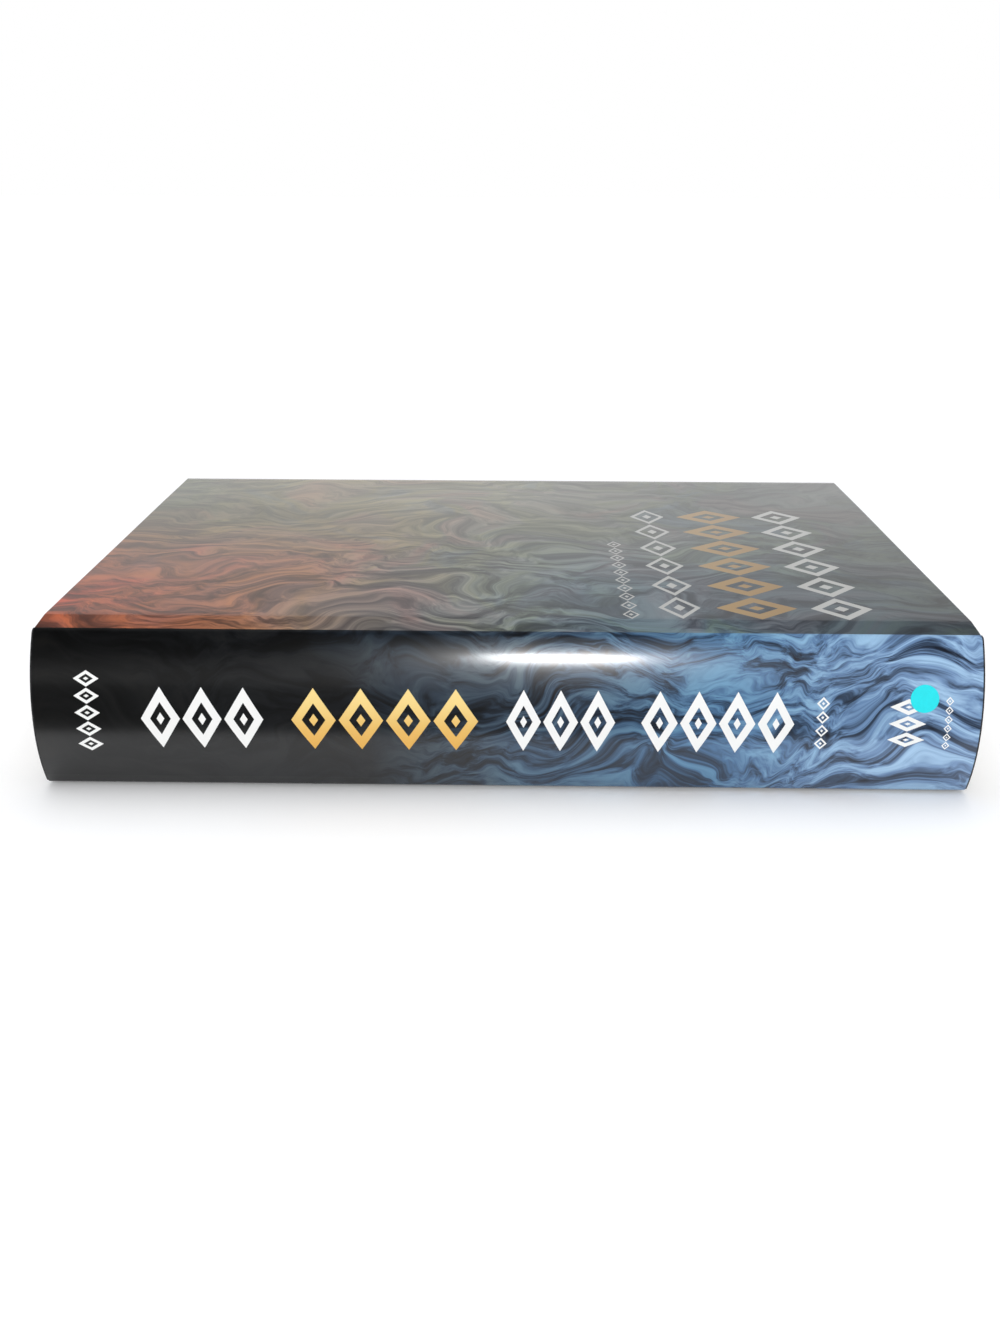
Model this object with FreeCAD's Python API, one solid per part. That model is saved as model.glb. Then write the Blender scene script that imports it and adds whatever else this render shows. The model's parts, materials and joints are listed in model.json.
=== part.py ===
"""A case-bound hardback book with its dust jacket, lying on its back cover.

The book's height runs along X, with the head at -X. The spine faces -Y and the fore edge +Y.
The origin is on the table, under the middle of the book. All sizes are in millimetres.

Sections are drawn in the Y-Z plane as (y, z) points and extruded along X. Every layer of paper,
card and cloth round the back is the outline of the text block moved outwards by the layers under it.
"""

import FreeCAD
import Part

import math
import os

# Text block
trim_height = 229.0
trim_width = 152.0
block_thickness = 34.8
spine_round = 5.0  # how far the middle leaves stand out behind the shoulders
shoulder_rise = 2.1  # how far the outer leaves are bent up at the back
shoulder_run = 4.2
shoulder_foot_radius = 3.2
shoulder_crest_radius = 0.6

# Case: two boards and a card strip, covered in one cloth that is turned in at the edges
square = 3.2  # how far the boards stand out past the leaves at head, tail and fore edge
board_thickness = 2.8
joint_width = 7.0  # from the fold at the shoulder to the covered edge of a board
cloth_thickness = 0.3
turn_in = 15.0
inlay_thickness = 0.5
inlay_setback = 0.4  # from the end of the cloth's bend at the crest to the edge of the card strip
groove_corner_radius = 0.35
covered_edge_radius = 0.6  # outside radius of the cloth round a board's edges
cover_crest_radius = 1.3

# Linings and endpapers
mull_thickness = 0.2
mull_setback = 12.0  # from the head and the tail of the leaves
liner_thickness = 0.25
liner_setback = 1.5
turn_in_gap = 0.15  # between the case's turned-in cloth and the lined back
endpaper_thickness = 0.2
leaf_gap = 0.3  # between the free endpaper and the jacket flap that lies on it

# Headbands
band_bead_diameter = 1.8
band_tape_width = 10.0
band_setback = 1.4  # from the shoulder's crest to the end of the band

# Dust jacket
jacket_thickness = 0.25
jacket_setback = 0.5  # the jacket is this much shorter than the case at head and tail
flap_width = 92.0
jacket_ease_radius = 6.0  # where the jacket leaves the board for the joint

# Round sticker on the spine
dot_diameter = 7.0
dot_thickness = 0.1
dot_from_tail = 14.2  # centre, from the tail edge of the jacket
dot_above_middle = 6.5

# Hinges
fold_gap = 0.3  # between a cover and the spine, along the fold where it turns
fold_clearance = 0.15  # from the jacket's face to the axis of the fold

# Sizes that follow
half_trim = trim_height / 2
half_board = half_trim + square
half_case = half_board + cloth_thickness
half_jacket = half_case - jacket_setback
half_block = block_thickness / 2

pastedown_level = endpaper_thickness + leaf_gap + jacket_thickness
groove_level = pastedown_level + endpaper_thickness
board_level = groove_level + cloth_thickness
board_top_level = board_level + board_thickness
case_level = board_top_level + cloth_thickness
jacket_level = case_level + jacket_thickness
middle = half_block + jacket_level

liner_level = mull_thickness
inlay_level = liner_level + liner_thickness + turn_in_gap + cloth_thickness
spine_cloth_level = inlay_level + inlay_thickness
spine_jacket_level = spine_cloth_level + cloth_thickness


# Plane geometry of the section


def directions(points):
    """Unit direction of each run of a polyline."""
    found = []
    for (ay, az), (by, bz) in zip(points, points[1:]):
        length = math.hypot(by - ay, bz - az)
        found.append(((by - ay) / length, (bz - az) / length))
    return found


def turn(before, after):
    """Signed angle from one direction to the next, positive to the left."""
    cross = before[0] * after[1] - before[1] * after[0]
    return math.atan2(cross, before[0] * after[0] + before[1] * after[1])


def meet(p, u, q, v):
    """Where the line through p along u meets the line through q along v."""
    cross = u[0] * v[1] - u[1] * v[0]
    reach = ((q[0] - p[0]) * v[1] - (q[1] - p[1]) * v[0]) / cross
    return (p[0] + u[0] * reach, p[1] + u[1] * reach)


def moved(points, distances):
    """A polyline with each run moved to its left by its own distance."""
    ways = directions(points)
    starts = [
        (p[0] - u[1] * d, p[1] + u[0] * d) for p, u, d in zip(points, ways, distances)
    ]
    inner = [
        meet(starts[i], ways[i], starts[i + 1], ways[i + 1])
        for i in range(len(ways) - 1)
    ]
    end = (
        points[-1][0] - ways[-1][1] * distances[-1],
        points[-1][1] + ways[-1][0] * distances[-1],
    )
    return [starts[0]] + inner + [end]


def vector(point):
    return FreeCAD.Vector(0, point[0], point[1])


def rounded(points, radii):
    """Lines and tangent arcs along a polyline whose inner corners have these radii."""
    ways = directions(points)
    edges = []
    start = points[0]
    for corner, before, after, radius in zip(points[1:-1], ways, ways[1:], radii):
        half_turn = abs(turn(before, after)) / 2
        reach = radius * math.tan(half_turn)
        arc_start = (corner[0] - before[0] * reach, corner[1] - before[1] * reach)
        arc_end = (corner[0] + after[0] * reach, corner[1] + after[1] * reach)
        inward = math.hypot(after[0] - before[0], after[1] - before[1])
        sagitta = radius / math.cos(half_turn) - radius
        arc_middle = (
            corner[0] + (after[0] - before[0]) / inward * sagitta,
            corner[1] + (after[1] - before[1]) / inward * sagitta,
        )
        if math.dist(start, arc_start) > 1e-6:
            edges.append(Part.LineSegment(vector(start), vector(arc_start)).toShape())
        edges.append(
            Part.Arc(vector(arc_start), vector(arc_middle), vector(arc_end)).toShape()
        )
        start = arc_end
    edges.append(Part.LineSegment(vector(start), vector(points[-1])).toShape())
    return edges


def side_radii(points, radii, distance):
    """Corner radii of the same path moved to its left by a distance."""
    ways = directions(points)
    return [
        r - distance if turn(a, b) > 0 else r + distance
        for a, b, r in zip(ways, ways[1:], radii)
    ]


def strip(points, radii, thickness):
    """Face of a sheet of this thickness that lies on the left of a rounded path."""
    far = moved(points, [thickness] * (len(points) - 1))
    far_radii = side_radii(points, radii, thickness)
    edges = rounded(points, radii)
    edges.append(Part.LineSegment(vector(points[-1]), vector(far[-1])).toShape())
    edges += rounded(far[::-1], far_radii[::-1])
    edges.append(Part.LineSegment(vector(far[0]), vector(points[0])).toShape())
    return Part.Face(Part.Wire(edges))


def extruded(face, low_x, high_x):
    """A section face as a solid from low_x to high_x."""
    placed = face.copy()
    placed.translate(FreeCAD.Vector(low_x, 0, 0))
    return placed.extrude(FreeCAD.Vector(high_x - low_x, 0, 0))


def block(low, high):
    """A box between two corners."""
    size = [b - a for a, b in zip(low, high)]
    return Part.makeBox(*size, FreeCAD.Vector(*low))


FAR = 2 * trim_height  # past everything, for the boxes that cut a layer short


def behind(solid, y):
    """What lies on the spine's side of y."""
    return solid.common(block((-FAR, -FAR, -FAR), (FAR, y, FAR)))


def before(solid, y):
    """What lies on the fore edge's side of y."""
    return solid.common(block((-FAR, y, -FAR), (FAR, FAR, FAR)))


# Outline of the text block, with its shoulders' crests at crest_y

crest = half_block + shoulder_rise
back_angle = 2 * math.atan(spine_round / crest)
crest_radii = [shoulder_foot_radius, shoulder_crest_radius]


def back_radius(points, crest_radius):
    """Largest radius of the back that still leaves room for the rounded crests.

    The path is foot, crest, point of the back, crest, foot.
    """
    ways = directions(points)
    crest_reach = crest_radius * math.tan(abs(turn(ways[0], ways[1])) / 2)
    length = math.dist(points[1], points[2])
    return (length - crest_reach) / math.tan(abs(turn(ways[1], ways[2])) / 2)


def block_outline(crest_y):
    """Fore edge, foot, crest, point of the back, crest, foot, fore edge, from the bottom up."""
    foot_y = crest_y + shoulder_run
    point_y = crest_y - crest * math.tan(back_angle)
    fore_y = crest_y + trim_width
    return [
        (fore_y, middle - half_block),
        (foot_y, middle - half_block),
        (crest_y, middle - crest),
        (point_y, middle),
        (crest_y, middle + crest),
        (foot_y, middle + half_block),
        (fore_y, middle + half_block),
    ]


def outline_out(outline, side, back):
    """The block's outline with its two faces moved out by one distance and its back by another."""
    return moved(outline, [side, side, back, back, side, side])


def apex(points, crest_radius):
    """How far back the rounded back reaches, for a path of foot, crest, point, crest, foot."""
    ways = directions(points)
    half_turn = abs(turn(ways[1], ways[2])) / 2
    radius = back_radius(points, crest_radius)
    return points[2][0] + radius * (1 / math.cos(half_turn) - 1)


def bend_end_y(points, crest_radius):
    """Where the bend at the crest ends and the back starts, for the same kind of path."""
    ways = directions(points)
    reach = crest_radius * math.tan(abs(turn(ways[0], ways[1])) / 2)
    return points[1][0] + ways[1][0] * reach


def jacket_spine_path(outline):
    """Inner face of the jacket round the spine: board, crest, point, crest, board.

    It rests on the cloth at the crests and rises from there to the edges of the boards.
    Returns the points and the centre of the upper crest.
    """
    cloth = outline_out(outline, groove_level, spine_cloth_level)
    ways = directions(cloth)
    half_turn = abs(turn(ways[3], ways[4])) / 2
    to_centre = cover_crest_radius / math.cos(half_turn)
    pull = (ways[4][0] - ways[3][0], ways[4][1] - ways[3][1])
    length = math.hypot(*pull)
    centre = (
        cloth[4][0] + pull[0] / length * to_centre,
        cloth[4][1] + pull[1] / length * to_centre,
    )
    radius = cover_crest_radius + cloth_thickness
    edge = (centre[0] + joint_width, middle + half_block + case_level)
    away = (centre[0] - edge[0], centre[1] - edge[1])
    heading = math.atan2(away[1], away[0]) - math.asin(radius / math.hypot(*away))
    back = outline_out(outline, groove_level, spine_jacket_level)
    top = meet(edge, (math.cos(heading), math.sin(heading)), back[3], ways[3])
    low_top = (top[0], 2 * middle - top[1])
    low_edge = (edge[0], 2 * middle - edge[1])
    return [low_edge, low_top, back[3], top, edge], centre


# The outline is drawn once at zero to see how far back the jacket reaches, and then in its place

trial_path, trial_centre = jacket_spine_path(block_outline(0.0))
jacket_crest_radius = cover_crest_radius + cloth_thickness
back_reach = -apex(
    moved(trial_path, [jacket_thickness] * 4), jacket_crest_radius + jacket_thickness
)
fore_reach = trim_width + square + cloth_thickness + jacket_thickness
crest_y = (back_reach + dot_thickness - fore_reach) / 2

outline = block_outline(crest_y)
jacket_path, crest_centre = jacket_spine_path(outline)
fore_y = outline[-1][0]
board_fore_y = fore_y + square
board_back_y = crest_centre[0] + joint_width + cloth_thickness
block_top = middle + half_block

# The covers turn about the folds of the jacket at the shoulders

fold_way = directions(jacket_path)[3]
fold_normal = (-fold_way[1], fold_way[0])
fold_reach = jacket_crest_radius + jacket_thickness + fold_clearance
fold_y = crest_centre[0] + fold_normal[0] * fold_reach
front_fold_z = crest_centre[1] + fold_normal[1] * fold_reach
back_fold_z = 2 * middle - front_fold_z
cover_edge_y = fold_y + fold_gap / 2
spine_edge_y = fold_y - fold_gap / 2

spine_cloth_path = outline_out(outline, groove_level, spine_cloth_level)[1:-1]
inlay_edge_y = bend_end_y(spine_cloth_path, cover_crest_radius) - inlay_setback


def layer_path(side, back, crest_radius):
    """Path of a layer round the back, from foot to foot, with its corner radii."""
    points = outline_out(outline, side, back)[1:-1]
    radius = back_radius(points, crest_radius)
    return points, [crest_radius, radius, crest_radius]


def back_layer(side, back, crest_radius, thickness):
    """Face of a layer that goes round the back, from foot to foot."""
    points, radii = layer_path(side, back, crest_radius)
    return strip(points, radii, thickness)


def face_layer(level, thickness, crest_radius):
    """Face of a layer from over the upper crest, down the shoulder and out to the fore edge."""
    points = outline_out(outline, level, level)[3:]
    radii = [crest_radius, shoulder_foot_radius - level]
    return strip(points, radii, thickness)


# Sub-parts of the text block and the spine


def text_block():
    """All the leaves as one solid, rounded at the back and hollow at the fore edge."""
    points = outline
    back = back_radius(points[1:-1], shoulder_crest_radius)
    radii = crest_radii + [back] + crest_radii[::-1]
    edges = rounded(points, radii)
    hollow = back - math.sqrt(back**2 - half_block**2)
    fore_middle = vector((fore_y - hollow, middle))
    edges.append(Part.Arc(vector(points[-1]), fore_middle, vector(points[0])).toShape())
    return extruded(Part.Face(Part.Wire(edges)), -half_trim, half_trim)


def front_flyleaf():
    """The free half of the front endpaper, from the shoulder's crest to the fore edge."""
    face = face_layer(0.0, endpaper_thickness, shoulder_crest_radius)
    return before(extruded(face, -half_trim, half_trim), fold_y)


def mull():
    """The gauze that is glued over the back of the leaves."""
    face = back_layer(0.0, 0.0, shoulder_crest_radius, mull_thickness)
    half = half_trim - mull_setback
    return behind(extruded(face, -half, half), fold_y)


def spine_liner():
    """The paper over the gauze, which holds the headbands' tapes down."""
    face = back_layer(0.0, liner_level, shoulder_crest_radius, liner_thickness)
    half = half_trim - liner_setback
    return behind(extruded(face, -half, half), inlay_edge_y)


def spine_inlay():
    """The card strip that stiffens the spine of the case."""
    face = back_layer(groove_level, inlay_level, cover_crest_radius, inlay_thickness)
    return behind(extruded(face, -half_board, half_board), inlay_edge_y)


def case_cloth_spine():
    """The cloth over the card strip, turned in round its ends at head and tail."""
    outer = back_layer(
        groove_level, spine_cloth_level, cover_crest_radius, cloth_thickness
    )
    folded = inlay_level - cloth_thickness
    inner = back_layer(groove_level, folded, cover_crest_radius, cloth_thickness)
    whole = back_layer(
        groove_level, folded, cover_crest_radius, spine_jacket_level - folded
    )
    cloth = behind(extruded(outer, -half_case, half_case), spine_edge_y)
    for low, high in ((-half_board, -half_board + turn_in), (half_board - turn_in, half_board)):
        cloth = cloth.fuse(behind(extruded(inner, low, high), inlay_edge_y))
    for low, high in ((-half_case, -half_board), (half_board, half_case)):
        cloth = cloth.fuse(behind(extruded(whole, low, high), inlay_edge_y))
    return cloth.removeSplitter()


def jacket_spine():
    """The spine of the dust jacket, between its two folds."""
    radius = back_radius(jacket_path, jacket_crest_radius)
    radii = [jacket_crest_radius, radius, jacket_crest_radius]
    face = strip(jacket_path, radii, jacket_thickness)
    return behind(extruded(face, -half_jacket, half_jacket), spine_edge_y)


def dot_sticker():
    """A round sticker that follows the curve of the spine."""
    path = moved(jacket_path, [jacket_thickness] * 4)
    crest_radius = jacket_crest_radius + jacket_thickness
    radii = [crest_radius, back_radius(path, crest_radius), crest_radius]
    centre_x = half_jacket - dot_from_tail
    half = dot_diameter / 2
    skin = extruded(strip(path, radii, dot_thickness), centre_x - half, centre_x + half)
    punch = Part.makeCylinder(
        half,
        FAR,
        FreeCAD.Vector(centre_x, 0, middle + dot_above_middle),
        FreeCAD.Vector(0, -1, 0),
    )
    return skin.common(punch)


def band(end):
    """A headband: a bead on the edge of the leaves and the tape that is glued to the back.

    end is -1 at the head and 1 at the tail.
    """
    points = outline[1:-1]
    radius = back_radius(points, shoulder_crest_radius)
    centre_y = apex(points, shoulder_crest_radius) + radius
    bead_radius = band_bead_diameter / 2
    edge_x = end * half_trim
    bead_x = edge_x + end * bead_radius
    bead_y = centre_y - radius - mull_thickness + bead_radius
    along = FreeCAD.Vector(1, 0, 0)
    ring = Part.makeCircle(
        bead_radius, FreeCAD.Vector(bead_x, bead_y, middle), FreeCAD.Vector(0, 0, 1)
    )
    bead = Part.Face(Part.Wire(ring))
    tape_y = centre_y - radius - mull_thickness
    tape_end_x = edge_x - end * band_tape_width
    low_x, high_x = min(bead_x, tape_end_x), max(bead_x, tape_end_x)
    corners = [
        FreeCAD.Vector(low_x, tape_y, middle),
        FreeCAD.Vector(high_x, tape_y, middle),
        FreeCAD.Vector(high_x, tape_y + mull_thickness, middle),
        FreeCAD.Vector(low_x, tape_y + mull_thickness, middle),
    ]
    tape = Part.Face(Part.makePolygon(corners + corners[:1]))
    half_angle = math.degrees(math.asin((crest - band_setback) / radius))
    centre = FreeCAD.Vector(0, centre_y, middle)
    swept = []
    for section in (bead, tape):
        start = section.copy()
        start.rotate(centre, along, -half_angle)
        swept.append(start.revolve(centre, along, 2 * half_angle))
    return swept[0].fuse(swept[1]).removeSplitter()


# Sub-parts of the front cover; the back cover is their mirror image


def front_board():
    """The greyboard of the cover."""
    return block(
        (-half_board, board_back_y, block_top + board_level),
        (half_board, board_fore_y, block_top + board_top_level),
    )


def softened(wrapped):
    """The covered board with its outside edges rounded, apart from those in the joint."""
    box = wrapped.BoundBox
    rounds = []
    for edge in wrapped.Edges:
        ends = [v.Point for v in edge.Vertexes]
        upright = abs(ends[0].z - ends[1].z) > cloth_thickness
        at_spine = max(p.y for p in ends) < box.YMin + cloth_thickness
        at_foot = max(p.z for p in ends) < box.ZMin + cloth_thickness
        if not (at_spine and (upright or at_foot)):
            rounds.append(edge)
    return wrapped.makeFillet(covered_edge_radius, rounds)


def case_cloth_front():
    """The cloth over the board, turned in on three sides, and on into the joint up to the fold."""
    wrapped = softened(
        block(
            (-half_case, board_back_y - cloth_thickness, block_top + groove_level),
            (half_case, board_fore_y + cloth_thickness, block_top + case_level),
        )
    )
    window = block(
        (-half_board + turn_in, board_back_y, block_top + groove_level),
        (half_board - turn_in, board_fore_y - turn_in, block_top + board_level),
    )
    joint_points = outline_out(outline, groove_level, spine_cloth_level)[3:]
    joint_radii = [cover_crest_radius, shoulder_foot_radius - groove_level]
    joint = extruded(
        strip(joint_points, joint_radii, cloth_thickness), -half_case, half_case
    )
    joint = behind(before(joint, cover_edge_y), board_back_y - cloth_thickness)
    corner = groove_fillet()
    return wrapped.cut(front_board()).cut(window).fuse([joint, corner]).removeSplitter()


def groove_fillet():
    """The small cove where the cloth turns up from the joint onto the edge of the board."""
    face_y = board_back_y - cloth_thickness
    floor_z = block_top + groove_level + cloth_thickness
    r = groove_corner_radius
    corner, low, high = (face_y, floor_z), (face_y - r, floor_z), (face_y, floor_z + r)
    bow = r * (1 - math.sqrt(0.5))
    edges = [
        Part.LineSegment(vector(low), vector(corner)).toShape(),
        Part.LineSegment(vector(corner), vector(high)).toShape(),
        Part.Arc(
            vector(high), vector((face_y - bow, floor_z + bow)), vector(low)
        ).toShape(),
    ]
    return extruded(Part.Face(Part.Wire(edges)), -half_case, half_case)


def front_pastedown():
    """The half of the front endpaper that is pasted to the board, and on over the joint."""
    crest_radius = shoulder_crest_radius + pastedown_level
    face = face_layer(pastedown_level, endpaper_thickness, crest_radius)
    return before(extruded(face, -half_trim, half_trim), cover_edge_y)


def jacket_front():
    """The front of the dust jacket, folded round the fore edge of the board into a flap."""
    point, top, edge = jacket_path[2:]
    case_top = block_top + case_level
    flap_z = block_top + pastedown_level
    case_fore_y = board_fore_y + cloth_thickness
    path = [
        point,
        top,
        edge,
        (case_fore_y, case_top),
        (case_fore_y, flap_z),
        (case_fore_y - flap_width, flap_z),
    ]
    radii = [
        jacket_crest_radius,
        jacket_ease_radius,
        covered_edge_radius,
        covered_edge_radius,
    ]
    face = strip(path, radii, jacket_thickness)
    return before(extruded(face, -half_jacket, half_jacket), cover_edge_y)


def mirrored(solid):
    """The same piece on the other side of the book."""
    return solid.mirror(FreeCAD.Vector(0, 0, middle), FreeCAD.Vector(0, 0, 1))


def pieces():
    """Every sub-part by name."""
    front = {
        "front_flyleaf": front_flyleaf(),
        "front_board": front_board(),
        "case_cloth_front": case_cloth_front(),
        "front_pastedown": front_pastedown(),
        "jacket_front": jacket_front(),
    }
    made = dict(front)
    for name, solid in front.items():
        made[name.replace("front", "back")] = mirrored(solid)
    made["text_block"] = text_block()
    made["mull"] = mull()
    made["spine_liner"] = spine_liner()
    made["headband"] = band(-1)
    made["tailband"] = band(1)
    made["spine_inlay"] = spine_inlay()
    made["case_cloth_spine"] = case_cloth_spine()
    made["jacket_spine"] = jacket_spine()
    made["dot_sticker"] = dot_sticker()
    return made


def main():
    os.makedirs("parts", exist_ok=True)
    for name, shape in pieces().items():
        shape.exportStep(os.path.join("parts", name + ".step"))
        print(f"{name}: {len(shape.Solids)} solid, {shape.Volume / 1000:.2f} cm3")
    print(f"thickness {2 * middle:.2f}, depth {back_reach + fore_reach + dot_thickness:.2f}")
    print(f"folds at y {fold_y:.3f}, z {front_fold_z:.3f} and {back_fold_z:.3f}")


main()
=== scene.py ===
import json
import math
import random

import bpy
from mathutils import Matrix, Vector


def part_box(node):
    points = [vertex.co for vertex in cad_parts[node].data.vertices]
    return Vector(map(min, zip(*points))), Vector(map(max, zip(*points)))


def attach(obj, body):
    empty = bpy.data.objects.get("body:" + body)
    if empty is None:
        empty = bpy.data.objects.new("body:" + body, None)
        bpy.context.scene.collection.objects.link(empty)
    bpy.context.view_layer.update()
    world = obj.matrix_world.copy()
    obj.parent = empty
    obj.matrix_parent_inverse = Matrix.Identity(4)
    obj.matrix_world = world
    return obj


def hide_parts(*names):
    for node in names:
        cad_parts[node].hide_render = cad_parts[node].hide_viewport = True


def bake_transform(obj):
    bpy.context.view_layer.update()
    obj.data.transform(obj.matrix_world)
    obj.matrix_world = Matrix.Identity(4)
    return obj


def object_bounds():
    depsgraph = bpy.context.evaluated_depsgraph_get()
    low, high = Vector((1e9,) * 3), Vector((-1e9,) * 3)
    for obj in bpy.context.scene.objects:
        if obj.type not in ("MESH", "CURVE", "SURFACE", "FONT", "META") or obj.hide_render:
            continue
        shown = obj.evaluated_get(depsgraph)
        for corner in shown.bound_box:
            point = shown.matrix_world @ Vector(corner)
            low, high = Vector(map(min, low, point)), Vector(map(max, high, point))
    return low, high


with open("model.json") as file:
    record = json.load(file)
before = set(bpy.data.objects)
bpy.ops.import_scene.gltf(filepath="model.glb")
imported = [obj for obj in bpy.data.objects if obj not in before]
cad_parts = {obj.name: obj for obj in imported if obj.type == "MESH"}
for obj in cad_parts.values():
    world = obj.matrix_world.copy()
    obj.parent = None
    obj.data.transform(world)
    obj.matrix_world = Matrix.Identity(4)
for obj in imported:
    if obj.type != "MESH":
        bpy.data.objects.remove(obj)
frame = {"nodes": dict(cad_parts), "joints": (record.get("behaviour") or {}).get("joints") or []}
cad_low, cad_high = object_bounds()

# A hardback book with its dust jacket, lying on its back cover with the spine to the camera.
# Lengths are in metres. The section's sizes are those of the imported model.

MM = 0.001

# Section of the text block
trim_width = 152 * MM
block_thickness = 34.8 * MM
spine_round = 5 * MM
shoulder_rise = 2.1 * MM
shoulder_run = 4.2 * MM
shoulder_crest_radius = 0.6 * MM

# Layers on the two faces and on the back, as distances out from the text block
groove_level = 0.95 * MM
case_level = 4.35 * MM
spine_cloth_level = 1.4 * MM
spine_jacket_level = 1.7 * MM
pastedown_level = 0.75 * MM
endpaper_thickness = 0.2 * MM
cloth_thickness = 0.3 * MM
mull_thickness = 0.2 * MM

# Jacket and joint
joint_width = 7 * MM
cover_crest_radius = 1.3 * MM
jacket_crest_radius = 1.6 * MM
jacket_ease_radius = 6 * MM
jacket_fold_radius = 0.6 * MM
jacket_thickness = 0.25 * MM
flap_width = 92 * MM
board_edge = 3.5 * MM  # from the leaves to the covered edge of a board

# Camera, fitted to the photograph's edges
IMAGE_HEIGHT = 1333
focal_pixels = 1289.5
axis_row = 545.0
camera_place = (2.47 * MM, -375.88 * MM, 154.20 * MM)
camera_pitch = math.radians(16.432)
camera_yaw = math.radians(-0.752)
camera_roll = math.radians(0.218)

middle = (cad_low.z + cad_high.z) / 2
half_block = block_thickness / 2
crest = half_block + shoulder_rise
fore_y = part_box("text_block")[1].y
half_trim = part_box("text_block")[1].x
half_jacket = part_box("jacket_front")[1].x
half_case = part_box("case_cloth_front")[1].x
crest_y = fore_y - trim_width
hinges = {joint["child"]: Vector(joint["pos_m"]) for joint in frame["joints"]}
fold_y = hinges["front_cover"].y
fold_z = hinges["front_cover"].z


# Plane geometry of the section, as (y, z) points

arc_step = math.radians(9)  # the most that an arc turns from one sample to the next


def directions(points):
    """Unit direction of each run of a polyline."""
    found = []
    for (ay, az), (by, bz) in zip(points, points[1:]):
        length = math.hypot(by - ay, bz - az)
        found.append(((by - ay) / length, (bz - az) / length))
    return found


def turn(before, after):
    """Signed angle from one direction to the next, positive to the left."""
    cross = before[0] * after[1] - before[1] * after[0]
    return math.atan2(cross, before[0] * after[0] + before[1] * after[1])


def meet(p, u, q, v):
    """Where the line through p along u meets the line through q along v."""
    cross = u[0] * v[1] - u[1] * v[0]
    reach = ((q[0] - p[0]) * v[1] - (q[1] - p[1]) * v[0]) / cross
    return (p[0] + u[0] * reach, p[1] + u[1] * reach)


def moved(points, distances):
    """A polyline with each run moved to its left by its own distance."""
    ways = directions(points)
    starts = [
        (p[0] - u[1] * d, p[1] + u[0] * d) for p, u, d in zip(points, ways, distances)
    ]
    inner = [
        meet(starts[i], ways[i], starts[i + 1], ways[i + 1])
        for i in range(len(ways) - 1)
    ]
    last, way = points[-1], ways[-1]
    end = (last[0] - way[1] * distances[-1], last[1] + way[0] * distances[-1])
    return [starts[0]] + inner + [end]


def run_samples(start, end, step):
    """Places and left-hand normals along a straight run, without its last point."""
    length = math.dist(start, end)
    if length < 1e-9:
        return []
    way = ((end[0] - start[0]) / length, (end[1] - start[1]) / length)
    count = max(1, math.ceil(length / step))
    return [
        (
            start[0] + way[0] * length * i / count,
            start[1] + way[1] * length * i / count,
            -way[1],
            way[0],
        )
        for i in range(count)
    ]


def sampled(points, radii, step):
    """Places and left-hand normals along a polyline with rounded corners: (y, z, ny, nz)."""
    ways = directions(points)
    samples = []
    start = points[0]
    for corner, before, after, radius in zip(points[1:-1], ways, ways[1:], radii):
        angle = turn(before, after)
        reach = radius * math.tan(abs(angle) / 2)
        arc_start = (corner[0] - before[0] * reach, corner[1] - before[1] * reach)
        samples += run_samples(start, arc_start, step)
        side = math.copysign(1, angle)
        centre = (arc_start[0] - before[1] * radius * side, arc_start[1] + before[0] * radius * side)
        count = max(2, math.ceil(abs(angle) * radius / step), math.ceil(abs(angle) / arc_step))
        for i in range(count):
            part = angle * i / count
            way = (
                before[0] * math.cos(part) - before[1] * math.sin(part),
                before[0] * math.sin(part) + before[1] * math.cos(part),
            )
            left = (-way[1], way[0])
            place = (centre[0] - left[0] * radius * side, centre[1] - left[1] * radius * side)
            samples.append((*place, *left))
        start = (corner[0] + after[0] * reach, corner[1] + after[1] * reach)
    samples += run_samples(start, points[-1], step)
    last = ways[-1]
    samples.append((points[-1][0], points[-1][1], -last[1], last[0]))
    return samples


def lengths(samples, shift):
    """Distance along a sampled path moved to its left by shift, at each sample."""
    places = [(y + ny * shift, z + nz * shift) for y, z, ny, nz in samples]
    total, found = 0.0, [0.0]
    for a, b in zip(places, places[1:]):
        total += math.dist(a, b)
        found.append(total)
    return found


def block_outline():
    """Fore edge, foot, crest, point of the back, crest, foot, fore edge, from the bottom up."""
    back_angle = 2 * math.atan(spine_round / crest)
    point_y = crest_y - crest * math.tan(back_angle)
    return [
        (fore_y, middle - half_block),
        (crest_y + shoulder_run, middle - half_block),
        (crest_y, middle - crest),
        (point_y, middle),
        (crest_y, middle + crest),
        (crest_y + shoulder_run, middle + half_block),
        (fore_y, middle + half_block),
    ]


def outline_out(side, back):
    """The block's outline with its two faces moved out by one distance and its back by another."""
    return moved(outline, [side, side, back, back, side, side])


def back_radius(points, crest_radius):
    """Radius of the back that leaves room for the crests: foot, crest, point, crest, foot."""
    ways = directions(points)
    crest_reach = crest_radius * math.tan(abs(turn(ways[0], ways[1])) / 2)
    length = math.dist(points[1], points[2])
    return (length - crest_reach) / math.tan(abs(turn(ways[1], ways[2])) / 2)


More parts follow.
